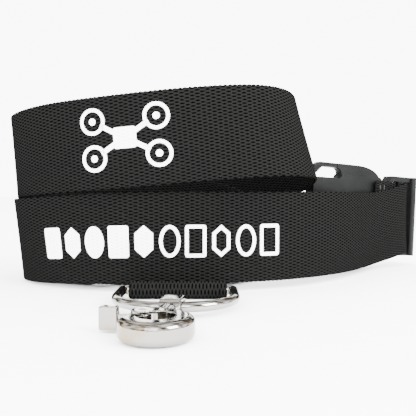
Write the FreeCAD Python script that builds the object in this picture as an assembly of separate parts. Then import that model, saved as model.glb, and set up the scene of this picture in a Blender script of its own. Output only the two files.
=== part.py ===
"""Neck strap for a hand-held radio transmitter, wound up in two standing turns.

Millimetres, +Z up. The origin is the middle of the footprint on the table. The turns of
webbing stand on edge; the D-ring and the snap hook lie on the table in front (-Y) and the
plug half of the side-release buckle ends the webbing at the right (+X).
"""
import FreeCAD, Part
import math
import os

V = FreeCAD.Vector

# Webbing
WEB_WIDTH = 25.0
WEB_THICK = 1.0
LAYER_GAP = 0.1           # air between layers of webbing, and between webbing and a bar
STACK_GAP = 0.25          # air between the neck ends, sewn on top of the tab
THREAD = 0.35             # how far a row of stitches stands proud

# D-ring, lying level; its straight bar is inside the fold of the tab
RING_Z = 2.35
RING_WIRE_R = 1.2
RING_BAR_Y = -13.9
RING_DEPTH = 20.8         # between the middles of the straight bar and the front bar
RING_HALF = 14.0          # half the width between the middles of the side bars
RING_BACK_R = 1.3
RING_FRONT_R = 11.5
RING_X = -16.6

# Tab, folded round the ring's straight bar
TAB_X = RING_X
TAB_END_Y = 20.0
TAB_LOW_Z = 0.05          # underside of the lower layer

# Snap hook; its claw is an open ring, and lengths run forward from the eye's hole
HOOK_X = RING_X
HOOK_YAW = -6.5
HOOK_HALF_THICK = 2.2
CLAW_FORWARD = 17.6
CLAW_OUTER_R = 7.3
CLAW_INNER_R = 3.7
CLAW_ROUND = 1.4
GAP_START, GAP_END = 122.0, 197.0   # the gate's gap in the claw, degrees from the hook's right
PIVOT = (-3.6, 4.4)
PIVOT_PIN_R = 0.6
GATE_REACH = 5.9          # from the pivot to the tip of the gate, which swings in past the claw's end
EYE_HOLE_R = 1.3
EYE_WALL = 1.0
EYE_THICK = 4.6
SHANK_R = 1.0
RUNNING_GAP = 0.05
BARREL_START, BARREL_END = 6.9, 11.0

# Plug half of the buckle: u runs from the end bar to the tips, n to the front, w up
PLUG_AT = V(67.5, 56.5, 17.8)
PLUG_YAW = 210.7
PLUG_TILT = 3.0
FRAME_HALF = 14.6
FRAME_INNER = 12.8
BODY_HALF = 12.1
ARM_HALF = 17.2
ARM_ROOT_U = 39.0
TIP_U = 50.0
ARM_GAP = 0.1
CENTRE_BAR_U = 7.0
SLOT_W, SLOT_END_R = 13.9, 1.8    # round end of the slot between the guide and each latch arm
LEDGE_W, LEDGE_N = 13.6, 1.4        # the shoulders are thinner than the base, beyond a ledge

# Socket half of the buckle, lying flat inside the turns
SOCKET_AT = V(-32.0, 19.0, 0.0)     # middle of its webbing bar
SOCKET_DIR = (-0.903, 0.43)
SOCKET_HALF = 17.0
SOCKET_START, SOCKET_END = 5.0, 24.0
SOCKET_LOW, SOCKET_HIGH = 0.05, 9.2
SOCKET_BAR_Z = 4.7
SOCKET_BAR_R = 1.3

# Route of the long webbing: x, y and z of its middle line, and its lean in degrees
# (0 stands on edge, 90 lies flat, a positive lean tips the top edge inwards)
COIL_ROUTE = [
    (-16.5, 10.5, 2.85, 90), (-12.5, 14.5, 2.85, 90), (-8.5, 18.5, 2.85, 90), (-5.6, 21.6, 3.1, 86),
    (-1.6, 26.2, 5.9, 70), (1.8, 31.0, 10.1, 43), (3.0, 37.0, 13.8, 18), (-1.4, 42.8, 16.6, 4),
    (-10.5, 45.6, 19.0, 0), (-20.0, 46.0, 21.4, 0), (-36.0, 44.3, 26.5, 0),
    (-53.0, 38.0, 32.5, 0), (-63.8, 29.0, 36.2, -2), (-68.3, 18.8, 37.4, -4), (-64.0, 9.2, 38.1, -4),
    (-52.9, -0.2, 39.1, -2), (-36.0, -7.1, 40.2, 0), (-8.0, -9.0, 42.6, 2), (8.0, -5.4, 43.6, 8),
    (16.6, 3.5, 43.6, 13), (20.5, 15.5, 42.8, 16), (20.6, 28.0, 40.5, 15), (15.6, 40.5, 37.0, 10),
    (3.0, 49.0, 32.8, 3), (-16.0, 53.0, 28.0, 0), (-38.0, 53.0, 21.5, 0), (-56.0, 46.5, 15.4, -3),
    (-65.0, 35.5, 12.9, -4), (-67.9, 21.5, 12.7, -5), (-63.6, 10.3, 12.9, -7),
    (-53.0, 1.9, 13.6, -5), (-36.4, -5.0, 14.6, -2), (-22.0, -6.4, 14.9, 0), (-8.0, -5.2, 14.9, 0),
    (14.0, 1.5, 14.9, 0), (35.7, 20.0, 14.6, 0)]
# The same webbing in the plug's u, n and w, round its centre bar and back to the short tail
LADDER_ROUTE = [
    (20.5, 5.4, -3.8), (13.5, 4.8, -2.3), (7.5, 3.9, -0.7), (4.9, 2.1, -0.1), (4.3, 0.0, 0.0),
    (5.0, -2.0, 0.0), (7.0, -2.9, 0.0), (9.0, -2.0, 0.0), (9.7, 0.0, 0.0), (10.4, 1.9, 0.0),
    (12.2, 3.0, 0.0), (14.5, 3.1, 0.0), (17.5, 3.1, 0.0), (22.0, 3.1, 0.0)]

CENTRE = V(-0.034, -0.429, 0.0)          # middle of the footprint, moved to the origin


def strap(points, across):
    """Webbing with its middle line through points; across gives the way to its upper edge."""
    sections = []
    for i, point in enumerate(points):
        ahead = points[min(i + 1, len(points) - 1)] - points[max(i - 1, 0)]
        side = V(across[i]).normalize() * (WEB_WIDTH / 2)
        out = ahead.cross(across[i]).normalize() * (WEB_THICK / 2)
        corners = [point + side + out, point + side - out, point - side - out, point - side + out]
        sections.append(Part.makePolygon(corners + corners[:1]))
    return Part.makeLoft(sections, True, True)


def arc(centre, radius, start, end, count):
    """Points on an arc, in degrees, as pairs."""
    steps = [math.radians(start + (end - start) * i / count) for i in range(count + 1)]
    return [(centre[0] + radius * math.cos(a), centre[1] + radius * math.sin(a)) for a in steps]


def box(low, high):
    return Part.makeBox(high[0] - low[0], high[1] - low[1], high[2] - low[2], V(*low))


def rod(radius, start, end):
    return Part.makeCylinder(radius, (end - start).Length, start, end - start)


def plate(outline, low, high):
    """A flat outline of x, y pairs, from z low to z high."""
    corners = [V(x, y, low) for x, y in outline]
    return Part.Face(Part.makePolygon(corners + corners[:1])).extrude(V(0, 0, high - low))


def soften(shape, radius, pick):
    """Round the edges that pick chooses."""
    edges = [e for e in shape.Edges if pick(e)]
    return shape.makeFillet(radius, edges)


# --- webbing --------------------------------------------------------------------------------
def plug_point(u, n, w=0.0):
    return plug_place().multVec(V(u, n, w))


def plug_place():
    turn = FreeCAD.Rotation(V(0, 0, 1), PLUG_YAW) * FreeCAD.Rotation(V(0, 1, 0), -PLUG_TILT)
    return FreeCAD.Placement(PLUG_AT, turn)


def neck_webbing():
    """The long webbing: flat in the tab's stack, two turns on edge, then through the ladder."""
    stations = [(V(x, y, z), lean) for x, y, z, lean in COIL_ROUTE]
    stations += [(plug_point(*place), 0.0) for place in LADDER_ROUTE]
    curve = Part.BSplineCurve()
    curve.interpolate([place for place, lean in stations])
    knots = curve.getKnots()
    points, across = [], []
    for i in range(len(stations) - 1):
        length = (stations[i + 1][0] - stations[i][0]).Length
        steps = max(2, round(length / 4.0))
        for step in range(steps + (i == len(stations) - 2)):
            part = step / steps
            at = knots[i] + (knots[i + 1] - knots[i]) * part
            lean = math.radians(stations[i][1] + (stations[i + 1][1] - stations[i][1]) * part)
            ahead = curve.tangent(at)[0]
            inward = V(0, 0, 1).cross(ahead).normalize()
            upward = ahead.cross(inward)
            points.append(curve.value(at))
            across.append(upward * math.cos(lean) + inward * math.sin(lean))
    return strap(points, across)


def tab_webbing():
    """Folded round the ring's straight bar; behind the fold its two layers are sewn into one."""
    fold = RING_WIRE_R + LAYER_GAP + WEB_THICK / 2
    low = TAB_LOW_Z + WEB_THICK / 2
    high = low + WEB_THICK + LAYER_GAP
    line = [(TAB_END_Y, low), (RING_BAR_Y + 3, low)]
    line += arc((RING_BAR_Y, RING_Z), fold, 270, 90, 9)
    line += [(RING_BAR_Y + 2.2, RING_Z + fold - 0.55), (RING_BAR_Y + 4.4, high + 0.35), (RING_BAR_Y + 6.0, high)]
    line += [(TAB_END_Y, high)]
    folded = strap([V(TAB_X, y, z) for y, z in line], [V(1, 0, 0)] * len(line))
    sewn = box((TAB_X - WEB_WIDTH / 2, RING_BAR_Y + 6.0, low), (TAB_X + WEB_WIDTH / 2, TAB_END_Y, high))
    return folded.fuse(sewn).removeSplitter()


def stack_top():
    """Height of the webbing sewn down on the tab: two tab layers, then the two neck ends."""
    return TAB_LOW_Z + 4 * WEB_THICK + LAYER_GAP + 2 * STACK_GAP


def return_z():
    """Middle height of the short webbing where it lies back on itself."""
    return stack_top() + WEB_THICK / 2 + 0.25


def socket_line():
    """Middle line of the short webbing as distance from the socket's bar and height."""
    wrap = SOCKET_BAR_R + LAYER_GAP + WEB_THICK / 2
    run = stack_top() - WEB_THICK / 2
    line = [(-25.0, run), (-6.0, run), (-3.0, SOCKET_BAR_Z - wrap + 0.35)]
    line += arc((0.0, SOCKET_BAR_Z), wrap, 270, 450, 9)
    line += [(-4.0, SOCKET_BAR_Z + wrap - 0.3), (-8.5, return_z()), (-14.0, return_z())]
    return line


def socket_point(along, side, z):
    dx, dy = SOCKET_DIR
    return V(SOCKET_AT.x + along * dx - side * dy, SOCKET_AT.y + along * dy + side * dx, z)


def buckle_webbing():
    """From the stack round the socket's bar and back over itself."""
    line = socket_line()
    dx, dy = SOCKET_DIR
    return strap([socket_point(s, 0.0, z) for s, z in line], [V(-dy, dx, 0)] * len(line))


def stitch_rows(place, low, length, width):
    """A sewn box with its cross, as thin rows of thread lying on the webbing."""
    half_l, half_w, row = length / 2, width / 2, 0.7
    rows = [box((-half_l, s * half_w - row / 2, 0), (half_l, s * half_w + row / 2, THREAD)) for s in (-1, 1)]
    rows += [box((s * half_l - row / 2, -half_w - row / 2, 0), (s * half_l + row / 2, half_w + row / 2, THREAD))
             for s in (-1, 1)]
    slope = math.degrees(math.atan2(width, length))
    for turn in (slope, -slope):
        cross = box((-math.hypot(half_l, half_w), -row / 2, 0), (math.hypot(half_l, half_w), row / 2, THREAD))
        cross.rotate(V(0, 0, 0), V(0, 0, 1), turn)
        rows.append(cross)
    sewn = rows[0].multiFuse(rows[1:]).removeSplitter()
    sewn.rotate(V(0, 0, 0), V(0, 0, 1), math.degrees(math.atan2(SOCKET_DIR[1], SOCKET_DIR[0])))
    sewn.translate(V(place.x, place.y, low))
    return sewn


# --- ring and hook --------------------------------------------------------------------------
def d_ring():
    """Bent wire: a straight bar at the back, short corners, and wide corners at the front."""
    back, front = 0.0, -RING_DEPTH
    loop = []

    def corner(x, y, radius, sx, sy):
        """Line end, middle and line start of one rounded corner."""
        k = radius * (1 - math.sqrt(0.5))
        return (V(x - sx * radius, y, 0), V(x - sx * k, y - sy * k, 0), V(x, y - sy * radius, 0))

    br = corner(RING_HALF, back, RING_BACK_R, 1, 1)
    fr = corner(RING_HALF, front, RING_FRONT_R, 1, -1)
    fl = corner(-RING_HALF, front, RING_FRONT_R, -1, -1)
    bl = corner(-RING_HALF, back, RING_BACK_R, -1, 1)
    middle = V(0, back, 0)
    loop.append(Part.LineSegment(middle, br[0]).toShape())
    loop.append(Part.Arc(*br).toShape())
    loop.append(Part.LineSegment(br[2], fr[2]).toShape())
    loop.append(Part.Arc(fr[2], fr[1], fr[0]).toShape())
    loop.append(Part.LineSegment(fr[0], fl[0]).toShape())
    loop.append(Part.Arc(*fl).toShape())
    loop.append(Part.LineSegment(fl[2], bl[2]).toShape())
    loop.append(Part.Arc(bl[2], bl[1], bl[0]).toShape())
    loop.append(Part.LineSegment(bl[0], middle).toShape())
    section = Part.Wire(Part.makeCircle(RING_WIRE_R, middle, V(1, 0, 0)))
    ring = Part.Wire(loop).makePipeShell([section], True, False)
    ring.translate(V(RING_X, RING_BAR_Y, RING_Z))
    return ring


def hook_place():
    turn = FreeCAD.Rotation(V(0, 0, 1), HOOK_YAW)
    return FreeCAD.Placement(V(HOOK_X, RING_BAR_Y - RING_DEPTH, RING_Z), turn)


def claw_point(x, y, z=0.0):
    """A point measured from the claw's middle, in the hook's own frame."""
    return V(x, y - CLAW_FORWARD, z)


def sector(inner, outer, start, end, half):
    """Part of a flat ring about the claw's middle, angles in degrees."""
    outline = arc((0, 0), outer, start, end, 24) + arc((0, 0), inner, end, start, 24)
    shape = plate(outline, -half, half)
    shape.translate(claw_point(0, 0))
    return shape


def barrelled(half):
    """A turned blank about the claw's middle whose outer edges are round."""
    k = CLAW_ROUND * (1 - math.sqrt(0.5))
    outer, flat = CLAW_OUTER_R, CLAW_OUTER_R - CLAW_ROUND
    lines = [Part.LineSegment(V(0, 0, -half), V(flat, 0, -half)).toShape(),
             Part.Arc(V(flat, 0, -half), V(outer - k, 0, k - half), V(outer, 0, CLAW_ROUND - half)).toShape(),
             Part.LineSegment(V(outer, 0, CLAW_ROUND - half), V(outer, 0, half - CLAW_ROUND)).toShape(),
             Part.Arc(V(outer, 0, half - CLAW_ROUND), V(outer - k, 0, half - k), V(flat, 0, half)).toShape(),
             Part.LineSegment(V(flat, 0, half), V(0, 0, half)).toShape(),
             Part.LineSegment(V(0, 0, half), V(0, 0, -half)).toShape()]
    blank = Part.Face(Part.Wire(lines)).revolve(V(0, 0, 0), V(0, 0, 1), 360)
    blank.translate(claw_point(0, 0))
    return blank


def swivel_eye():
    """Slotted eye round the ring's front bar, with a shank headed over inside the hook."""
    back, front = 1.6, -2.6
    high = EYE_HOLE_R + EYE_WALL

    def slot(radius):
        tall = box((-EYE_THICK / 2, front, -radius), (EYE_THICK / 2, back, radius))
        ends = [rod(radius, V(-EYE_THICK / 2, y, 0), V(EYE_THICK / 2, y, 0)) for y in (front, back)]
        return tall.multiFuse(ends).removeSplitter()

    eye = slot(high).common(rod(3.4, V(0, back + high + 1, 0), V(0, front - high - 1, 0)))
    eye = eye.cut(slot(EYE_HOLE_R))
    neck = rod(1.7, V(0, front - EYE_HOLE_R - 0.4, 0), V(0, -BARREL_START + 0.25, 0))
    shank = rod(SHANK_R, V(0, -BARREL_START + 0.5, 0), V(0, -9.6, 0))
    head = rod(1.45, V(0, -9.45, 0), V(0, -10.2, 0))
    return eye.multiFuse([neck, shank, head]).removeSplitter()


def hook_body():
    """Claw with a barrel for the swivel, and two cheeks that hold the trigger's root."""
    half = HOOK_HALF_THICK
    claw = sector(CLAW_INNER_R, CLAW_OUTER_R + 1.0, GAP_END - 360.0, GAP_START, half)
    claw = claw.common(barrelled(half))
    barrel = rod(half, V(0, -BARREL_START, 0), V(0, -BARREL_END, 0))
    lug = rod(2.3, claw_point(PIVOT[0], PIVOT[1], -half), claw_point(PIVOT[0], PIVOT[1], half))
    body = claw.multiFuse([barrel, lug]).removeSplitter()
    body = body.cut(rod(SHANK_R + RUNNING_GAP, V(0, -BARREL_START + 1, 0), V(0, -9.5, 0)))
    body = body.cut(rod(1.65, V(0, -9.3, 0), V(0, -10.5, 0)))
    slot = rod(3.1, claw_point(PIVOT[0], PIVOT[1], -1.5), claw_point(PIVOT[0], PIVOT[1], 1.5))
    body = body.cut(slot)
    body = body.cut(rod(CLAW_INNER_R, claw_point(0, 0, -half), claw_point(0, 0, half)))
    seat = rod(GATE_REACH + 0.1, claw_point(*PIVOT, -1.5), claw_point(*PIVOT, 1.5))
    body = body.cut(seat.common(box((-8.0, -3.0 - CLAW_FORWARD, -2), (-2.9, -0.9 - CLAW_FORWARD, 2))))
    return body.cut(rod(PIVOT_PIN_R, claw_point(*PIVOT, -half), claw_point(*PIVOT, half)))


def trigger():
    """Gate across the claw's gap, its root on the pin, and the thumb tab that opens it."""
    root = rod(1.8, claw_point(*PIVOT, -1.4), claw_point(*PIVOT, 1.4))
    gate = sector(CLAW_INNER_R + 0.3, CLAW_OUTER_R - 0.4, 133.0, 188.5, 1.4)
    gate = gate.common(rod(GATE_REACH, claw_point(*PIVOT, -2), claw_point(*PIVOT, 2)))
    arm = box((-9.0, 3.4 - CLAW_FORWARD, -1.3), (-4.2, 5.0 - CLAW_FORWARD, 1.3))
    tab = box((-12.0, 3.1 - CLAW_FORWARD, -1.85), (-8.3, 4.9 - CLAW_FORWARD, 2.85))
    tab = soften(tab, 0.5, lambda e: abs(e.Vertexes[0].Y - e.Vertexes[-1].Y) > 0.1)
    shape = root.multiFuse([gate, arm, tab]).removeSplitter()
    shape = shape.cut(rod(PIVOT_PIN_R + RUNNING_GAP, claw_point(*PIVOT, -2), claw_point(*PIVOT, 2)))
    return shape.cut(rod(1.25, claw_point(*PIVOT, -2), claw_point(*PIVOT, -0.4)))


def trigger_pin():
    """Rivet through both cheeks."""
    return rod(PIVOT_PIN_R, claw_point(*PIVOT, -HOOK_HALF_THICK), claw_point(*PIVOT, HOOK_HALF_THICK))


def trigger_spring():
    """Turns of the small torsion spring in the trigger's root."""
    turns = [Part.makeTorus(0.92, 0.16, claw_point(*PIVOT, z)) for z in (-1.15, -0.75)]
    return Part.makeCompound(turns)


# --- buckle ---------------------------------------------------------------------------------
def plug_body():
    """Ladder for the webbing, base, and the flat guide that runs between the latch arms."""
    outline = [(0, FRAME_HALF), (12.2, FRAME_HALF), (14.0, BODY_HALF), (17.0, BODY_HALF)]
    outline += shoulder()
    outline += [(ARM_ROOT_U - ARM_GAP, ARM_HALF), (ARM_ROOT_U - ARM_GAP, BODY_HALF),
                (TIP_U - 2.5, BODY_HALF), (TIP_U, 10.5), (TIP_U, 6.0), (33, 6.0)]
    full = outline + [(u, -w) for u, w in reversed(outline)]
    body = upright(full, -2.0, 2.0)
    for side in (-1, 1):
        body = body.cut(rod(SLOT_END_R, V(ARM_ROOT_U, -3, side * SLOT_W), V(ARM_ROOT_U, 3, side * SLOT_W)))
        for face in (-1, 1):
            edges = sorted((side * LEDGE_W, side * (ARM_HALF + 1)))
            faces = sorted((face * LEDGE_N, face * 3.0))
            body = body.cut(box((17.0, faces[0], edges[0]), (ARM_ROOT_U + 1, faces[1], edges[1])))
    body = body.cut(box((2.6, -4, -FRAME_INNER), (12.0, 4, FRAME_INNER)))
    end_bar = box((0, -2.0, -FRAME_HALF), (2.6, 3.3, FRAME_HALF))
    end_bar = soften(end_bar, 0.9, lambda e: abs(e.Vertexes[0].Z - e.Vertexes[-1].Z) > 5)
    centre = box((CENTRE_BAR_U - 1.1, -1.2, -FRAME_HALF + 0.5), (CENTRE_BAR_U + 1.1, 1.2, FRAME_HALF - 0.5))
    centre = soften(centre, 0.5, lambda e: abs(e.Vertexes[0].Z - e.Vertexes[-1].Z) > 5)
    return body.multiFuse([end_bar, centre]).removeSplitter()


def shoulder():
    """Round shoulder from the valley beside the frame up to the root of the arm."""
    rise = ARM_HALF - BODY_HALF
    steps = [math.radians(15 * i) for i in range(1, 7)]
    return [(29.0 - 11.0 * math.cos(a), BODY_HALF + rise * math.sin(a)) for a in steps]


def upright(outline, low, high):
    """A flat outline of u, w pairs standing on edge, from n low to n high."""
    corners = [V(u, low, w) for u, w in outline]
    return Part.Face(Part.makePolygon(corners + corners[:1])).extrude(V(0, high - low, 0))


def latch_arm(sign):
    """Springing arm with its catch at the tip."""
    outer, inner = ARM_HALF, ARM_HALF - 1.5
    outline = [(ARM_ROOT_U, outer), (TIP_U - 3.5, outer), (TIP_U - 0.6, outer - 1.2),
               (TIP_U, outer - 3.2), (TIP_U - 1.6, outer - 3.8), (TIP_U - 4.2, inner), (ARM_ROOT_U, inner)]
    return upright([(u, w * sign) for u, w in outline], -LEDGE_N, LEDGE_N)


def socket_body():
    """Flat box, open at the mouth, with side windows for the catches and a webbing bar."""
    low, high = SOCKET_LOW, SOCKET_HIGH
    shell = box((SOCKET_START, -SOCKET_HALF, low), (SOCKET_END, SOCKET_HALF, high))
    shell = soften(shell, 1.6, lambda e: abs(e.Vertexes[0].X - e.Vertexes[-1].X) > 5)
    shell = shell.cut(box((SOCKET_START + 2.2, -SOCKET_HALF + 1.8, low + 1.6),
                          (SOCKET_END + 1, SOCKET_HALF - 1.8, high - 1.6)))
    shell = shell.cut(box((SOCKET_START + 3.5, -SOCKET_HALF - 1, low + 1.6),
                          (SOCKET_END - 6.0, SOCKET_HALF + 1, high - 1.6)))
    bar = rod(SOCKET_BAR_R, V(0, -SOCKET_HALF + 1, SOCKET_BAR_Z), V(0, SOCKET_HALF - 1, SOCKET_BAR_Z))
    ears = [box((-1.8, min(s * SOCKET_HALF, s * (SOCKET_HALF - 2.4)), 2.4),
                (SOCKET_START + 1.0, max(s * SOCKET_HALF, s * (SOCKET_HALF - 2.4)), 7.0)) for s in (-1, 1)]
    return shell.multiFuse([bar] + ears).removeSplitter()


def socket_place():
    return FreeCAD.Placement(SOCKET_AT, FreeCAD.Rotation(V(0, 0, 1), math.degrees(math.atan2(*SOCKET_DIR[::-1]))))


def placed(shape, place):
    shape.Placement = place.multiply(shape.Placement)
    return shape


def tail_stitching():
    """Rows of thread across the hem of the tail."""
    front = LADDER_ROUTE[-1][1] + WEB_THICK / 2
    rows = [box((u, front, -11.0), (u + 0.6, front + THREAD, 11.0)) for u in (18.0, 20.0)]
    return Part.makeCompound(rows)


def socket_stitching():
    """Rows of thread across the short webbing where it is sewn back on itself."""
    low = return_z() + WEB_THICK / 2
    rows = [box((s, -11.0, low), (s + 0.6, 11.0, low + THREAD)) for s in (-10.5, -12.5)]
    return Part.makeCompound(rows)


def build():
    hook, plug = hook_place(), plug_place()
    stack_middle = socket_point(-19.5, 0.0, 0.0)
    return {
        "neck_webbing": neck_webbing(),
        "buckle_webbing": buckle_webbing(),
        "tab_webbing": tab_webbing(),
        "tab_stitching": stitch_rows(stack_middle, stack_top(), 6.0, 18.0),
        "d_ring": d_ring(),
        "swivel_eye": placed(swivel_eye(), hook),
        "hook_body": placed(hook_body(), hook),
        "trigger": placed(trigger(), hook),
        "trigger_pin": placed(trigger_pin(), hook),
        "trigger_spring": placed(trigger_spring(), hook),
        "plug_body": placed(plug_body(), plug),
        "upper_latch_arm": placed(latch_arm(1), plug),
        "lower_latch_arm": placed(latch_arm(-1), plug),
        "tail_stitching": placed(tail_stitching(), plug),
        "socket_body": placed(socket_body(), socket_place()),
        "socket_stitching": placed(socket_stitching(), socket_place()),
    }


def main():
    os.makedirs("parts", exist_ok=True)
    for name, shape in build().items():
        shape.translate(-CENTRE)
        shape.exportStep("parts/" + name + ".step")
        size = shape.BoundBox
        print(name, shape.isValid(), len(shape.Solids), round(shape.Volume, 1),
              [round(v, 2) for v in (size.XMin, size.YMin, size.ZMin, size.XMax, size.YMax, size.ZMax)])


main()
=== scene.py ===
"""A radio transmitter's neck strap, wound up and standing on a table.

Metres, in the frame's own axes: the hook points along -Y and the buckle's plug is at +X.
"""
import bpy
import bmesh
import math
import numpy as np
from mathutils import Matrix, Vector


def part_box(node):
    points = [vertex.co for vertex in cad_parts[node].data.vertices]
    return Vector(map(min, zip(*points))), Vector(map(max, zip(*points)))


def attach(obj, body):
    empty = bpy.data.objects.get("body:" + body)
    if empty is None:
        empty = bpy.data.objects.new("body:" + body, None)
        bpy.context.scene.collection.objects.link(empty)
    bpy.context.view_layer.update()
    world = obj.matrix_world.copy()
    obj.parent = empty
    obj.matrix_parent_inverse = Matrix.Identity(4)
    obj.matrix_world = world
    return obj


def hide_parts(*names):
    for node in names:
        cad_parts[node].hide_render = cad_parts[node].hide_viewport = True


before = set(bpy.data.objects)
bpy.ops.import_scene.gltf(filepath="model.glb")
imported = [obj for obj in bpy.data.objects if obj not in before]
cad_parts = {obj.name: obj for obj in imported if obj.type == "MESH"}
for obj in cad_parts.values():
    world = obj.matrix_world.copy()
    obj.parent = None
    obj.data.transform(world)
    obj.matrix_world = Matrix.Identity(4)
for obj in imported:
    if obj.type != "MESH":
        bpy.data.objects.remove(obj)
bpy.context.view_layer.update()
bpy.ops.object.select_all(action="DESELECT")
MM = 0.001


# --- Table, light and camera -----------------------------------------------------------------
# A pale table top inside a white light tent, with one large soft light from the right and a
# weaker one from the front.
bpy.ops.mesh.primitive_plane_add(size=6.0, location=(0, 0, 0))
table_top = bpy.context.object
table_top.name = "table_top"
paint = bpy.data.materials.new("table_white")
paint.use_nodes = True
paint.node_tree.nodes["Principled BSDF"].inputs["Base Color"].default_value = (0.93, 0.93, 0.93, 1)
paint.node_tree.nodes["Principled BSDF"].inputs["Roughness"].default_value = 0.9
table_top.data.materials.append(paint)


def ramp(tree, source, stops):
    """A colour ramp over source; stops are place and colour."""
    node = tree.nodes.new("ShaderNodeValToRGB")
    bar = node.color_ramp.elements
    while len(bar) < len(stops):
        bar.new(0.5)
    for element, (place, colour) in zip(bar, stops):
        element.position = place
        element.color = (*colour, 1) if len(colour) == 3 else (colour[0],) * 3 + (1,)
    tree.links.new(source, node.inputs[0])
    return node.outputs[0]


def noise(tree, vector, scale, detail=3.0):
    node = tree.nodes.new("ShaderNodeTexNoise")
    node.inputs["Scale"].default_value = scale
    node.inputs["Detail"].default_value = detail
    tree.links.new(vector, node.inputs["Vector"])
    return node.outputs["Fac"]


world = bpy.data.worlds.new("white_room")
world.use_nodes = True
bpy.context.scene.world = world
tent = world.node_tree
room = tent.nodes["Background"]
room.inputs["Color"].default_value = (1, 1, 1, 1)
room.inputs["Strength"].default_value = 9.5
# what shiny parts mirror is the tent's uneven cloth, pale with warm brown shadows
cloth = tent.nodes.new("ShaderNodeBackground")
cloth.inputs["Strength"].default_value = 4.6
folds = noise(tent, tent.nodes.new("ShaderNodeTexCoord").outputs["Generated"], 2.6, 1.0)
tent.links.new(ramp(tent, folds, [(0.40, (0.075, 0.055, 0.035)), (0.62, (1, 1, 1))]), cloth.inputs["Color"])
either = tent.nodes.new("ShaderNodeMixShader")
tent.links.new(tent.nodes.new("ShaderNodeLightPath").outputs["Is Glossy Ray"], either.inputs[0])
tent.links.new(room.outputs[0], either.inputs[1])
tent.links.new(cloth.outputs[0], either.inputs[2])
tent.links.new(either.outputs[0], tent.nodes["World Output"].inputs["Surface"])


def softbox(name, place, aim, size, power):
    """A square area light that faces aim."""
    bpy.ops.object.light_add(type="AREA", location=place)
    lamp = bpy.context.object
    lamp.name = name
    lamp.data.size = size
    lamp.data.energy = power
    lamp.rotation_euler = (Vector(aim) - Vector(place)).to_track_quat("-Z", "Y").to_euler()


softbox("key_right", (0.42, -0.30, 0.34), (0.0, 0.0, 0.03), 0.30, 12.0)
softbox("fill_front", (-0.10, -0.55, 0.25), (0.0, 0.0, 0.02), 0.35, 3.0)

EYE = Vector((-0.008966, -0.152571, 0.0272))
bpy.ops.object.camera_add(location=EYE, rotation=(math.radians(90 - 1.67), 0, 0))
camera = bpy.context.object
camera.data.sensor_width = 36.0
camera.data.lens = 47.59615
camera.data.clip_start = 0.01
bpy.context.scene.camera = camera
bpy.ops.object.select_all(action="DESELECT")


# --- Neck webbing ----------------------------------------------------------------------------
# The long band of the neck loop: 25 mm black polyester webbing, woven with a selvedge of small
# loops on both edges. It is sewn flat on the tab, stands on edge for two turns, and ends in
# the ladder of the buckle's plug.
WEB_WIDTH = 25.0
WEB_THICK = 1.0
SELVEDGE_PITCH = 1.3
FLOAT_PITCH, RIB_PITCH = 2.7, 0.91
UV_PER_MM = 0.01
CENTRE_X, CENTRE_Y = -0.034, -0.429
PLUG_AT = Vector((67.5, 56.5, 17.8))
PLUG_TURN = Matrix.Rotation(math.radians(210.7), 3, "Z") @ Matrix.Rotation(math.radians(-3.0), 3, "Y")
COIL_ROUTE = [
    (-16.5, 10.5, 2.85, 90), (-12.5, 14.5, 2.85, 90), (-8.5, 18.5, 2.85, 90), (-5.6, 21.6, 3.1, 86),
    (-1.6, 26.2, 5.9, 70), (1.8, 31.0, 10.1, 43), (3.0, 37.0, 13.8, 18), (-1.4, 42.8, 16.6, 4),
    (-10.5, 45.6, 19.0, 0), (-20.0, 46.0, 21.4, 0), (-36.0, 44.3, 26.5, 0),
    (-53.0, 38.0, 32.5, 0), (-63.8, 29.0, 36.2, -2), (-68.3, 18.8, 37.4, -4), (-64.0, 9.2, 38.1, -4),
    (-52.9, -0.2, 39.1, -2), (-36.0, -7.1, 40.2, 0), (-8.0, -9.0, 42.6, 2), (8.0, -5.4, 43.6, 8),
    (16.6, 3.5, 43.6, 13), (20.5, 15.5, 42.8, 16), (20.6, 28.0, 40.5, 15), (15.6, 40.5, 37.0, 10),
    (3.0, 49.0, 32.8, 3), (-16.0, 53.0, 28.0, 0), (-38.0, 53.0, 21.5, 0), (-56.0, 46.5, 15.4, -3),
    (-65.0, 35.5, 12.9, -4), (-67.9, 21.5, 12.7, -5), (-63.6, 10.3, 12.9, -7),
    (-53.0, 1.9, 13.6, -5), (-36.4, -5.0, 14.6, -2), (-22.0, -6.4, 14.9, 0), (-8.0, -5.2, 14.9, 0),
    (14.0, 1.5, 14.9, 0), (35.7, 20.0, 14.6, 0)]
LADDER_ROUTE = [
    (20.5, 5.4, -3.8), (13.5, 4.8, -2.3), (7.5, 3.9, -0.7), (4.9, 2.1, -0.1), (4.3, 0.0, 0.0),
    (5.0, -2.0, 0.0), (7.0, -2.9, 0.0), (9.0, -2.0, 0.0), (9.7, 0.0, 0.0), (10.4, 1.9, 0.0),
    (12.2, 3.0, 0.0), (14.5, 3.1, 0.0), (17.5, 3.1, 0.0), (22.0, 3.1, 0.0)]


def plug_point(u, n, w):
    """A point of the buckle's plug: u from its end bar to its tips, n to the front, w up."""
    return PLUG_AT + PLUG_TURN @ Vector((u, n, w))


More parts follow.
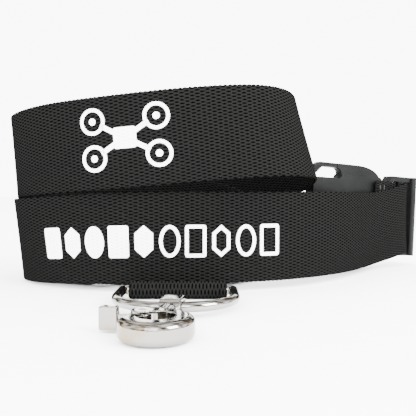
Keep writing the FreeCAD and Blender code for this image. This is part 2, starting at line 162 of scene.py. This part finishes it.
def spline(stations):
    """Natural cubic curve through the stations, as dense points a third of a millimetre apart."""
    s = np.asarray(stations, float)
    t = np.concatenate([[0], np.cumsum(np.linalg.norm(np.diff(s[:, :3], axis=0), axis=1))])
    h = np.diff(t)
    count = len(s)
    a, b = np.eye(count), np.zeros_like(s)
    for i in range(1, count - 1):
        a[i, i - 1:i + 2] = h[i - 1], 2 * (h[i - 1] + h[i]), h[i]
        b[i] = 6 * ((s[i + 1] - s[i]) / h[i] - (s[i] - s[i - 1]) / h[i - 1])
    m = np.linalg.solve(a, b)
    at = np.linspace(0, t[-1], int(t[-1] / 0.33))
    k = np.clip(np.searchsorted(t, at, side="right") - 1, 0, count - 2)
    x, y, w = (at - t[k])[:, None], (t[k + 1] - at)[:, None], h[k][:, None]
    return (m[k] * y ** 3 + m[k + 1] * x ** 3) / (6 * w) + (s[k] / w - m[k] * w / 6) * y \
        + (s[k + 1] / w - m[k + 1] * w / 6) * x


class Band:
    """A length of webbing: its middle line, the way across it, and the way out of its face."""

    def __init__(self, line, across):
        step = np.linalg.norm(np.diff(line, axis=0), axis=1)
        self.run = np.concatenate([[0], np.cumsum(step)])
        ahead = np.gradient(line, axis=0)
        self.line = line
        self.across = across / np.linalg.norm(across, axis=1, keepdims=True)
        out = np.cross(ahead, self.across)
        self.out = out / np.linalg.norm(out, axis=1, keepdims=True)
        self.length = self.run[-1]

    def at(self, u, v, h):
        """Points u along the band, v across it and h out of its face, in metres."""
        def mix(values):
            return np.stack([np.interp(u, self.run, values[:, i]) for i in range(3)], axis=-1)
        p = mix(self.line) + mix(self.across) * v[..., None] + mix(self.out) * h[..., None]
        return (p - np.array([CENTRE_X, CENTRE_Y, 0.0])) * MM


def neck_band():
    stations = COIL_ROUTE + [(*plug_point(*place), 0.0) for place in LADDER_ROUTE]
    line = spline(stations)
    lean = np.radians(line[:, 3:4])
    ahead = np.gradient(line[:, :3], axis=0)
    ahead /= np.linalg.norm(ahead, axis=1, keepdims=True)
    inward = np.cross([0.0, 0.0, 1.0], ahead)
    inward /= np.linalg.norm(inward, axis=1, keepdims=True)
    upward = np.cross(ahead, inward)
    return Band(line[:, :3], upward * np.cos(lean) + inward * np.sin(lean))


def webbing_mesh(name, band):
    """A closed band with round selvedges that swell and shrink with each weft loop."""
    half, deep = WEB_WIDTH / 2, WEB_THICK / 2
    # across and out, once round the section
    section = [(-1.0, 0.0), (-0.993, 0.55), (-0.975, 0.9), (-0.93, 0.96), (-0.6, 0.9), (0.0, 0.88),
               (0.6, 0.9), (0.93, 0.96), (0.975, 0.9), (0.993, 0.55), (1.0, 0.0)]
    section += [(v, -h) for v, h in section[-2:0:-1]]
    v = np.array([p[0] for p in section]) * half
    h = np.array([p[1] for p in section]) * deep
    rows = int(band.length / (SELVEDGE_PITCH / 4))
    u = np.linspace(0, band.length, rows + 1)
    loops = np.sin(2 * np.pi * u / SELVEDGE_PITCH)[:, None]
    edge = np.clip((np.abs(v) - 0.95 * half) / (0.05 * half), 0, 1)[None, :]
    vv = v[None, :] - np.sign(v)[None, :] * edge * (0.13 - 0.11 * loops)
    hh = h[None, :] * (1 + 0.10 * edge * loops)
    points = band.at(np.repeat(u[:, None], len(v), axis=1), vv, hh)
    mesh = bpy.data.meshes.new(name)
    n = len(section)
    faces = [(i * n + j, (i + 1) * n + j, (i + 1) * n + (j + 1) % n, i * n + (j + 1) % n)
             for i in range(rows) for j in range(n)]
    faces += [tuple(range(n)), tuple(reversed(range(rows * n, (rows + 1) * n)))]
    mesh.from_pydata(points.reshape(-1, 3).tolist(), [], faces)
    uv = mesh.uv_layers.new(name="weave")
    flat = np.stack([np.repeat(u, n), np.tile(v, rows + 1)], axis=1) * UV_PER_MM
    index = np.empty(len(mesh.loops), int)
    mesh.loops.foreach_get("vertex_index", index)
    uv.data.foreach_set("uv", flat[index].astype(np.float32).ravel())
    mesh.shade_smooth()
    piece = bpy.data.objects.new(name, mesh)
    bpy.context.collection.objects.link(piece)
    faces_outward(piece)
    return piece


def faces_outward(piece):
    """Merge doubles and turn every face outwards."""
    shape = bmesh.new()
    shape.from_mesh(piece.data)
    bmesh.ops.remove_doubles(shape, verts=shape.verts, dist=1e-7)
    bmesh.ops.recalc_face_normals(shape, faces=shape.faces)
    shape.to_mesh(piece.data)
    shape.free()


def new_material(name, colour, rough):
    """A named material, its node tree and its shader, with the plain values set."""
    made = bpy.data.materials.new(name)
    made.use_nodes = True
    tree = made.node_tree
    shader = tree.nodes["Principled BSDF"]
    shader.inputs["Base Color"].default_value = (*colour, 1)
    shader.inputs["Roughness"].default_value = rough
    return made, tree, shader


def calc(tree, operation, *values):
    """One Math node; values are numbers or sockets."""
    node = tree.nodes.new("ShaderNodeMath")
    node.operation = operation
    for socket, value in zip(node.inputs, values):
        if isinstance(value, (int, float)):
            socket.default_value = value
        else:
            tree.links.new(value, socket)
    return node.outputs[0]


def bump(tree, shader, height, distance, strength=1.0):
    node = tree.nodes.new("ShaderNodeBump")
    node.inputs["Distance"].default_value = distance
    node.inputs["Strength"].default_value = strength
    tree.links.new(height, node.inputs["Height"])
    tree.links.new(node.outputs["Normal"], shader.inputs["Normal"])


def weave_height(tree):
    """Height of the weave: a staggered lattice of pits between floats of warp, 0 to 1."""
    uv = tree.nodes.new("ShaderNodeUVMap")
    uv.uv_map = "weave"
    parts = tree.nodes.new("ShaderNodeSeparateXYZ")
    tree.links.new(uv.outputs["UV"], parts.inputs[0])
    wobble = calc(tree, "MULTIPLY", calc(tree, "SUBTRACT", noise(tree, uv.outputs["UV"], 90.0), 0.5), 1.6)
    per_float, per_rib = (2 * math.pi / (UV_PER_MM * pitch) for pitch in (FLOAT_PITCH, RIB_PITCH))
    along = calc(tree, "ADD", calc(tree, "MULTIPLY", parts.outputs["X"], per_float), wobble)
    over = calc(tree, "ADD", calc(tree, "MULTIPLY", parts.outputs["Y"], per_rib), wobble)
    lattice = calc(tree, "MULTIPLY", calc(tree, "COSINE", along), calc(tree, "COSINE", over))
    pit = calc(tree, "SMOOTH_MIN", calc(tree, "SUBTRACT", 0.55, lattice), 0.6, 0.5)
    return calc(tree, "MULTIPLY", calc(tree, "ADD", pit, 0.45), 0.95), uv.outputs["UV"]


def webbing_material():
    made, tree, shader = new_material("black_webbing", (0.008, 0.008, 0.0085), 0.7)
    height, uv = weave_height(tree)
    fuzz = noise(tree, uv, 700.0, 2.0)
    # painted shade and sheen: with the specular off, the colour is darkest in the weave's pits (painted
    # shade) and lightest on the floats of warp (painted sheen), with random fibre fuzz on top
    weave_shading_and_noise = calc(tree, "ADD", height, calc(tree, "MULTIPLY", calc(tree, "SUBTRACT", fuzz, 0.5), 0.5))
    tree.links.new(ramp(tree, weave_shading_and_noise, [(0.1, (0.0002, 0.0002, 0.0002)), (0.5, (0.0014, 0.0014, 0.0014)),
                                      (1.0, (0.0062, 0.0062, 0.006))]), shader.inputs["Base Color"])
    tree.links.new(ramp(tree, fuzz, [(0.3, (0.6,)), (0.7, (0.8,))]), shader.inputs["Roughness"])
    shader.inputs["Specular IOR Level"].default_value = 0.0
    bump(tree, shader, weave_shading_and_noise, 0.0003)
    return made


black_webbing = webbing_material()
neck = neck_band()
neck_piece = webbing_mesh("neck_band", neck)
neck_piece.data.materials.append(black_webbing)
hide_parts("neck_webbing")
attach(neck_piece, "strap")


# --- Tab and short webbing ---------------------------------------------------------------------
# Two cut lengths of the same webbing: one folded round the D-ring's straight bar, the other
# round the socket's bar and sewn back over itself.
RING_X, RING_BAR_Y, RING_Z, RING_WIRE = -16.6, -13.9, 2.35, 1.2
SOCKET_BAR = (-32.0, 19.0, 4.7)
SOCKET_DIR = np.array([-0.903, 0.43, 0.0])


def bend(centre, radius, start, end, count=18):
    """Points on an arc, in degrees, as pairs."""
    steps = np.radians(np.linspace(start, end, count))
    return [(centre[0] + radius * math.cos(a), centre[1] + radius * math.sin(a)) for a in steps]


def short_band(name, points, across, node):
    """A length of webbing that runs from point to point, the same way across all along."""
    line = np.asarray(points, float)
    run = np.concatenate([[0], np.cumsum(np.linalg.norm(np.diff(line, axis=0), axis=1))])
    dense = np.stack([np.interp(np.arange(0, run[-1], 0.33), run, line[:, i]) for i in range(3)], axis=1)
    band = Band(dense, np.tile(across, (len(dense), 1)))
    piece = webbing_mesh(name, band)
    piece.data.materials.append(black_webbing)
    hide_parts(node)
    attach(piece, "strap")
    return piece, band


fold = RING_WIRE + 0.6
tab_line = [(20.0, 0.55), (RING_BAR_Y + 3, 0.55)] + bend((RING_BAR_Y, RING_Z), fold, 270, 90)
tab_line += [(RING_BAR_Y + 2.2, RING_Z + fold - 0.55), (RING_BAR_Y + 4.4, 2.0),
             (RING_BAR_Y + 6, 1.65), (20.0, 1.65)]
tab_piece, tab = short_band("tab_band", [(RING_X, y, z) for y, z in tab_line], (1.0, 0.0, 0.0), "tab_webbing")

wrap = 1.3 + 0.6
back_line = [(-25.0, 4.15), (-6.0, 4.15), (-3.0, 4.7 - wrap + 0.35)] + bend((0, 4.7), wrap, 270, 450)
back_line += [(-4.0, 4.7 + wrap - 0.3), (-8.5, 5.4), (-14.0, 5.4)]
sew_across = np.array([-SOCKET_DIR[1], SOCKET_DIR[0], 0.0])
short_piece, short = short_band(
    "socket_band", [np.array([SOCKET_BAR[0], SOCKET_BAR[1], z]) + SOCKET_DIR * s for s, z in back_line],
    sew_across, "buckle_webbing")


# --- Prints ------------------------------------------------------------------------------------
# White plastisol ink pressed into the weave: a small aircraft with four rotors on the upper
# turn, and a row of plain shapes, filled at one end and open at the other, on the lower turn.
INK_PROUD = 0.03
AIRCRAFT_X, AIRCRAFT_TURN = -30.7, (30, 55)
ROTOR_AT, ROTOR_WIDTH, HUB_WIDTH = (8.8, 4.9), 7.2, 1.9
ROW_X, ROW_TURN = -22.7, (8, 22)
ROW_PITCH, ROW_SHAPE = 6.9, (5.7, 8.7)
STROKE = 0.95
PRINTS_OFF_MIDDLE = 0.85


def ink_material():
    made, tree, shader = new_material("white_ink", (0.86, 0.86, 0.85), 0.55)
    height, uv = weave_height(tree)
    wear = noise(tree, uv, 260.0, 4.0)
    # painted shade: the ink is darker in the weave's pits and lighter on the floats, varied by random wear
    weave_shading_and_noise = calc(tree, "ADD", calc(tree, "MULTIPLY", height, 0.6), calc(tree, "MULTIPLY", wear, 0.5))
    tree.links.new(ramp(tree, weave_shading_and_noise, [(0.12, (0.35, 0.35, 0.35)), (0.3, (0.78, 0.78, 0.77)),
                                      (0.7, (0.93, 0.93, 0.92))]), shader.inputs["Base Color"])
    tree.links.new(ramp(tree, wear, [(0.3, (0.45,)), (0.7, (0.65,))]), shader.inputs["Roughness"])
    bump(tree, shader, height, 0.00012)
    return made


white_ink = ink_material()


def ink_shape(corners, place, size, turn=0.0, rim=0.0):
    """A flat shape of so many corners at z 0, filled, or a band rim wide round its edge."""
    bpy.ops.mesh.primitive_circle_add(vertices=corners, radius=0.5, fill_type="NGON")
    shape = bpy.context.object
    bpy.ops.object.mode_set(mode="EDIT")
    bpy.ops.mesh.select_all(action="SELECT")
    if corners == 4:
        bpy.ops.transform.rotate(value=math.radians(45), orient_axis="Z", center_override=(0, 0, 0))
        bpy.ops.transform.resize(value=(math.sqrt(2), math.sqrt(2), 1))
    bpy.ops.transform.resize(value=(size[0], size[1], 1))
    if corners == 4:
        bpy.ops.mesh.bevel(offset=0.12 * min(size), segments=3, affect="VERTICES")
        bpy.ops.mesh.select_all(action="SELECT")
    if rim:
        bpy.ops.mesh.inset(thickness=rim)
        bpy.ops.mesh.delete(type="FACE")
        bpy.ops.mesh.select_all(action="SELECT")
    bpy.ops.transform.rotate(value=math.radians(turn), orient_axis="Z", center_override=(0, 0, 0))
    bpy.ops.transform.translate(value=(place[0], place[1], 0))
    bpy.ops.object.mode_set(mode="OBJECT")
    return shape


def print_on(name, shapes, band, start, middle):
    """Join the flat shapes, cut them finely along the band, and lay them on its face."""
    bpy.ops.object.select_all(action="DESELECT")
    for shape in shapes:
        shape.select_set(True)
    bpy.context.view_layer.objects.active = shapes[0]
    bpy.ops.object.join()
    piece = bpy.context.object
    piece.name = piece.data.name = name
    flat = bmesh.new()
    flat.from_mesh(piece.data)
    low, high = min(v.co.x for v in flat.verts), max(v.co.x for v in flat.verts)
    for x in np.arange(low + 0.4, high, 0.4):
        bmesh.ops.bisect_plane(flat, geom=flat.verts[:] + flat.edges[:] + flat.faces[:],
                               plane_co=(x, 0, 0), plane_no=(1, 0, 0))
    bmesh.ops.triangulate(flat, faces=flat.faces[:])
    places = np.array([v.co[:2] for v in flat.verts])
    u, v = start + places[:, 0], middle + places[:, 1]
    on = band.at(u, v, np.full(len(u), WEB_THICK / 2 + INK_PROUD))
    layer = flat.loops.layers.uv.new("weave")
    for face in flat.faces:
        for corner in face.loops:
            i = corner.vert.index
            corner[layer].uv = (u[i] * UV_PER_MM, v[i] * UV_PER_MM)
    outward = band.at(u[:1], v[:1], np.array([1.0])) - band.at(u[:1], v[:1], np.array([0.0]))
    for vert, point in zip(flat.verts, on):
        vert.co = point
    flat.normal_update()
    flat.faces.ensure_lookup_table()
    if flat.faces[0].normal.dot(Vector(outward[0])) < 0:
        bmesh.ops.reverse_faces(flat, faces=flat.faces[:])
    flat.to_mesh(piece.data)
    flat.free()
    piece.data.materials.append(white_ink)
    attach(piece, "strap")


def along_at(band, x, low, high):
    """Distance along the band to where its front run, between two heights, passes x."""
    line = band.line
    fits = (line[:, 1] < 6) & (line[:, 2] > low) & (line[:, 2] < high)
    return band.run[fits][np.argmin(np.abs(line[fits, 0] - x))]


craft = [ink_shape(4, (0, 0), (6.2, 5.6))]
for sx in (-1, 1):
    for sy in (-1, 1):
        craft.append(ink_shape(4, (sx * 4.7, sy * 2.6), (4.4, 1.3), turn=-sx * sy * 30))
        rotor = (sx * ROTOR_AT[0], sy * ROTOR_AT[1])
        craft.append(ink_shape(32, rotor, (ROTOR_WIDTH, ROTOR_WIDTH), rim=STROKE))
        craft.append(ink_shape(20, rotor, (HUB_WIDTH, HUB_WIDTH)))
print_on("print_aircraft", craft, neck, along_at(neck, AIRCRAFT_X, *AIRCRAFT_TURN), PRINTS_OFF_MIDDLE)

row = []
for i in range(10):
    place = ((i - 4.5) * ROW_PITCH, 0)
    row.append(ink_shape((4, 6, 32)[i % 3], place, ROW_SHAPE, rim=0 if i < 5 else STROKE))
print_on("print_row", row, neck, along_at(neck, ROW_X, *ROW_TURN), -PRINTS_OFF_MIDDLE)


# --- Stitching ---------------------------------------------------------------------------------
# Bonded black thread, 0.4 mm thick: a sewn box with its cross through the tab's stack, and two
# bar rows each on the short webbing and on the hem of the tail.
def thread_material():
    made, tree, shader = new_material("black_thread", (0.02, 0.02, 0.022), 0.45)
    place = tree.nodes.new("ShaderNodeTexCoord").outputs["Object"]
    strands = noise(tree, place, 9000.0, 2.0)
    tree.links.new(ramp(tree, strands, [(0.3, (0.004,)), (0.7, (0.02,))]), shader.inputs["Base Color"])
    tree.links.new(ramp(tree, strands, [(0.3, (0.45,)), (0.7, (0.7,))]), shader.inputs["Roughness"])
    shader.inputs["Specular IOR Level"].default_value = 0.15
    bump(tree, shader, strands, 0.00005)
    return made


black_thread = thread_material()
bpy.ops.mesh.primitive_uv_sphere_add(segments=10, ring_count=6, radius=1.0)
one_stitch = bpy.context.object
stitch_mesh = one_stitch.data.copy()
bpy.data.objects.remove(one_stitch)


def sewn_rows(name, rows, node, long=2.3, thick=0.4):
    """Stitches laid end to end on rows of start, end and upward way, in millimetres."""
    joined = bmesh.new()
    for start, end, up in rows:
        start, end, up = Vector(start), Vector(end), Vector(up).normalized()
        way = (end - start).normalized()
        count = max(1, round((end - start).length / long))
        size = (end - start).length / count
        turn = Matrix((way, up.cross(way), up)).transposed().to_4x4()
        for i in range(count):
            middle = start + way * size * (i + 0.5)
            place = Matrix.Translation((middle - Vector((CENTRE_X, CENTRE_Y, 0))) * MM) @ turn
            place = place @ Matrix.Diagonal((size * 0.52 * MM, thick * 0.75 * MM, thick * 0.5 * MM, 1))
            first = len(joined.verts)
            joined.from_mesh(stitch_mesh)
            joined.verts.ensure_lookup_table()
            for vert in joined.verts[first:]:
                vert.co = place @ vert.co
    mesh = bpy.data.meshes.new(name)
    joined.to_mesh(mesh)
    joined.free()
    piece = bpy.data.objects.new(name, mesh)
    bpy.context.collection.objects.link(piece)
    faces_outward(piece)
    mesh.shade_smooth()
    mesh.materials.append(black_thread)
    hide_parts(node)
    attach(piece, "strap")


def on_stack(s, t, z=4.72):
    """A point s from the socket's bar along the short webbing, and t across it."""
    return Vector((SOCKET_BAR[0], SOCKET_BAR[1], z)) + Vector(SOCKET_DIR * s) + Vector(sew_across * t)


UP = (0, 0, 1)
corners = [(-22.5, -9), (-16.5, -9), (-16.5, 9), (-22.5, 9)]
box_rows = [(on_stack(*corners[i]), on_stack(*corners[(i + 1) % 4]), UP) for i in range(4)]
box_rows += [(on_stack(*corners[i]), on_stack(*corners[i + 2]), UP) for i in range(2)]
sewn_rows("tab_sewing", box_rows, "tab_stitching")
sewn_rows("socket_sewing", [(on_stack(s, -11, 5.97), on_stack(s, 11, 5.97), UP) for s in (-10.2, -12.2)],
          "socket_stitching")
plug_out = PLUG_TURN @ Vector((0, 1, 0))
tail_rows = [(plug_point(u, 3.66, -11), plug_point(u, 3.66, 11), plug_out) for u in (18.3, 20.3)]
sewn_rows("tail_sewing", tail_rows, "tail_stitching")


# --- D-ring ------------------------------------------------------------------------------------
# Bright nickel-plated 2.4 mm wire, bent to a D round a former and butted inside the tab's fold.
def nickel_material(name, colour, grain, rough):
    """Bright plate over metal: faint warm and cool patches, pin-head pits and soft scratches."""
    made, tree, shader = new_material(name, colour, rough)
    place = tree.nodes.new("ShaderNodeTexCoord").outputs["Object"]
    patches = noise(tree, place, 140.0, 3.0)
    warm = tuple(c * k for c, k in zip(colour, (0.95, 0.82, 0.62)))
    tone = ramp(tree, patches, [(0.35, colour), (0.56, colour), (0.68, warm)])
    tree.links.new(tone, shader.inputs["Base Color"])
    fine = noise(tree, place, grain, 4.0)
    scratched = ramp(tree, fine, [(0.35, (rough * 0.6,)), (0.7, (rough * 1.7,))])
    tree.links.new(scratched, shader.inputs["Roughness"])
    shader.inputs["Metallic"].default_value = 1.0
    bump(tree, shader, calc(tree, "ADD", patches, calc(tree, "MULTIPLY", fine, 0.15)), 0.00006, 0.6)
    return made


bright_wire = nickel_material("nickel_wire", (0.27, 0.265, 0.25), 1500.0, 0.08)


def wire_mesh(name, points, radius, material, closed=False):
    """Round wire through the points, made a mesh."""
    curve = bpy.data.curves.new(name, "CURVE")
    curve.dimensions = "3D"
    curve.bevel_depth = radius * MM
    curve.bevel_resolution = 8
    curve.use_fill_caps = not closed
    path = curve.splines.new("POLY")
    path.points.add(len(points) - 1)
    for point, place in zip(path.points, points):
        point.co = ((place[0] - CENTRE_X) * MM, (place[1] - CENTRE_Y) * MM, place[2] * MM, 1)
    path.use_cyclic_u = closed
    piece = bpy.data.objects.new(name, curve)
    bpy.context.collection.objects.link(piece)
    bpy.ops.object.select_all(action="DESELECT")
    piece.select_set(True)
    bpy.context.view_layer.objects.active = piece
    bpy.ops.object.convert(target="MESH")
    piece = bpy.context.object
    faces_outward(piece)
    piece.data.shade_smooth()
    piece.data.materials.append(material)
    return piece


RING_HALF, RING_DEPTH, RING_BACK, RING_FRONT = 14.0, 20.8, 1.3, 11.5
ring_path = []
for cx, cy, radius, start in ((RING_HALF - RING_BACK, -RING_BACK, RING_BACK, 90),
                              (RING_HALF - RING_FRONT, RING_FRONT - RING_DEPTH, RING_FRONT, 0),
                              (RING_FRONT - RING_HALF, RING_FRONT - RING_DEPTH, RING_FRONT, -90),
                              (RING_BACK - RING_HALF, -RING_BACK, RING_BACK, -180)):
    ring_path += bend((cx, cy), radius, start, start - 90, 9 if radius < 2 else 28)
ring_piece = wire_mesh("d_ring_wire", [(RING_X + x, RING_BAR_Y + y, RING_Z) for x, y in ring_path], RING_WIRE,
                       bright_wire, closed=True)
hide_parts("d_ring")
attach(ring_piece, "ring")


# --- Swivel eye and snap hook ------------------------------------------------------------------
# Die-cast zinc, tumbled and plated bright: an eye whose shank is headed over inside the hook's
# barrel, an open round claw, and two cheeks that hold the gate's root.
cast_nickel = nickel_material("cast_nickel", (0.25, 0.24, 0.222), 1100.0, 0.10)


def as_cast(name, node, body, grain, rounds):
    """One skin over the node's shape, as fine as grain, its edges eased as tumbling does."""
    piece = node_copy(node)
    piece.name = piece.data.name = name
    bpy.ops.object.select_all(action="DESELECT")
    piece.select_set(True)
    bpy.context.view_layer.objects.active = piece
    remesh = piece.modifiers.new("skin", "REMESH")
    remesh.mode = "VOXEL"
    remesh.voxel_size = grain * MM
    remesh.use_smooth_shade = True
    ease = piece.modifiers.new("tumble", "SMOOTH")
    ease.factor = 0.5
    ease.iterations = rounds
    for modifier in ("skin", "tumble"):
        bpy.ops.object.modifier_apply(modifier=modifier)
    piece.data.materials.clear()
    piece.data.materials.append(cast_nickel)
    piece.data.shade_smooth()
    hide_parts(node)
    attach(piece, body)


def node_copy(node):
    """A copy of a node's mesh, its doubles merged."""
    piece = bpy.data.objects.new(node + "_copy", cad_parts[node].data.copy())
    bpy.context.collection.objects.link(piece)
    faces_outward(piece)
    return piece


as_cast("swivel_eye_cast", "swivel_eye", "eye", 0.10, 6)
as_cast("snap_hook_cast", "hook_body", "hook", 0.13, 6)
as_cast("trigger_cast", "trigger", "trigger", 0.11, 7)


# --- Pivot pin and spring ----------------------------------------------------------------------
# A plated rivet with low domed heads through the cheeks, and a torsion spring of 0.3 mm wire
# wound on it inside the gate's root.
def steel_material(name, colour, rough):
    """Drawn or headed steel: fine lines of the die and a little oil-dark variation."""
    made, tree, shader = new_material(name, colour, rough)
    place = tree.nodes.new("ShaderNodeTexCoord").outputs["Object"]
    lines = noise(tree, place, 4000.0, 3.0)
    dark = tuple(c * 0.7 for c in colour)
    tree.links.new(ramp(tree, noise(tree, place, 500.0, 3.0), [(0.35, dark), (0.6, colour)]),
                   shader.inputs["Base Color"])
    drawn = ramp(tree, lines, [(0.3, (rough * 0.7,)), (0.7, (rough * 1.4,))])
    tree.links.new(drawn, shader.inputs["Roughness"])
    shader.inputs["Metallic"].default_value = 1.0
    bump(tree, shader, lines, 0.00002)
    return made


rivet_steel = steel_material("rivet_steel", (0.62, 0.61, 0.59), 0.28)
spring_steel = steel_material("spring_wire", (0.45, 0.44, 0.43), 0.32)
pin_low, pin_high = (Vector(corner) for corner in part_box("trigger_pin"))
pin_middle = (pin_low + pin_high) / 2
bpy.ops.mesh.primitive_cylinder_add(vertices=40, radius=0.6 * MM, depth=pin_high.z - pin_low.z,
                                    location=pin_middle)
pin_piece = bpy.context.object
pin_piece.name = pin_piece.data.name = "trigger_rivet"
bpy.ops.object.transform_apply(location=True, rotation=True, scale=True)
bpy.ops.object.mode_set(mode="EDIT")
bpy.ops.mesh.select_all(action="DESELECT")
bpy.ops.object.mode_set(mode="OBJECT")
for face in pin_piece.data.polygons:
    face.select = len(face.vertices) > 4
bpy.ops.object.mode_set(mode="EDIT")
bpy.ops.mesh.select_mode(type="FACE")
bpy.ops.mesh.bevel(offset=0.15 * MM, segments=4)
bpy.ops.object.mode_set(mode="OBJECT")
pin_piece.data.shade_smooth()
pin_piece.data.materials.append(rivet_steel)
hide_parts("trigger_pin")
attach(pin_piece, "hook")

SPRING_TURNS, SPRING_R, SPRING_FOOT, SPRING_PITCH = 3, 0.92, -1.13, 0.12
coil = []
for turns in np.linspace(0, SPRING_TURNS, SPRING_TURNS * 24 + 1):
    coil.append((pin_middle.x / MM + CENTRE_X + SPRING_R * math.cos(2 * math.pi * turns),
                 pin_middle.y / MM + CENTRE_Y + SPRING_R * math.sin(2 * math.pi * turns),
                 RING_Z + SPRING_FOOT + SPRING_PITCH * turns))
spring_piece = wire_mesh("trigger_spring_coil", coil, 0.15, spring_steel)
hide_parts("trigger_spring")
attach(spring_piece, "hook")


# --- Buckle ------------------------------------------------------------------------------------
# Black acetal, injection moulded with a satin texture: the plug with its ladder, guide and two
# latch arms, and the socket that it clicks into. Every moulded edge has a small radius.
def acetal_material():
    made, tree, shader = new_material("black_acetal", (0.01, 0.0105, 0.0105), 0.42)
    place = tree.nodes.new("ShaderNodeTexCoord").outputs["Object"]
    spark = noise(tree, place, 2600.0, 3.0)
    flow = noise(tree, place, 60.0, 3.0)
    tree.links.new(ramp(tree, flow, [(0.3, (0.002, 0.0022, 0.0021)), (0.7, (0.004, 0.0045, 0.0043))]),
                   shader.inputs["Base Color"])
    tree.links.new(ramp(tree, spark, [(0.3, (0.32,)), (0.7, (0.5,))]), shader.inputs["Roughness"])
    shader.inputs["Specular IOR Level"].default_value = 0.07
    bump(tree, shader, spark, 0.00003, 0.7)
    return made


black_acetal = acetal_material()


def moulded(name, node, body, radius=0.35):
    """A moulding of the node's shape, with its flat faces made whole and its edges rounded."""
    piece = node_copy(node)
    piece.name = piece.data.name = name
    shape = bmesh.new()
    shape.from_mesh(piece.data)
    bmesh.ops.dissolve_limit(shape, angle_limit=math.radians(1.0), verts=shape.verts, edges=shape.edges)
    shape.to_mesh(piece.data)
    shape.free()
    bpy.ops.object.select_all(action="DESELECT")
    piece.select_set(True)
    bpy.context.view_layer.objects.active = piece
    edges = piece.modifiers.new("edges", "BEVEL")
    edges.width = radius * MM
    edges.segments = 3
    edges.limit_method = "ANGLE"
    edges.angle_limit = math.radians(38)
    bpy.ops.object.modifier_apply(modifier="edges")
    piece.data.materials.clear()
    piece.data.materials.append(black_acetal)
    bpy.ops.object.shade_smooth_by_angle(angle=math.radians(32))
    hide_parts(node)
    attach(piece, body)


moulded("buckle_plug", "plug_body", "strap")
moulded("latch_arm_upper", "upper_latch_arm", "upper_arm", 0.25)
moulded("latch_arm_lower", "lower_latch_arm", "lower_arm", 0.25)
moulded("buckle_socket", "socket_body", "socket")
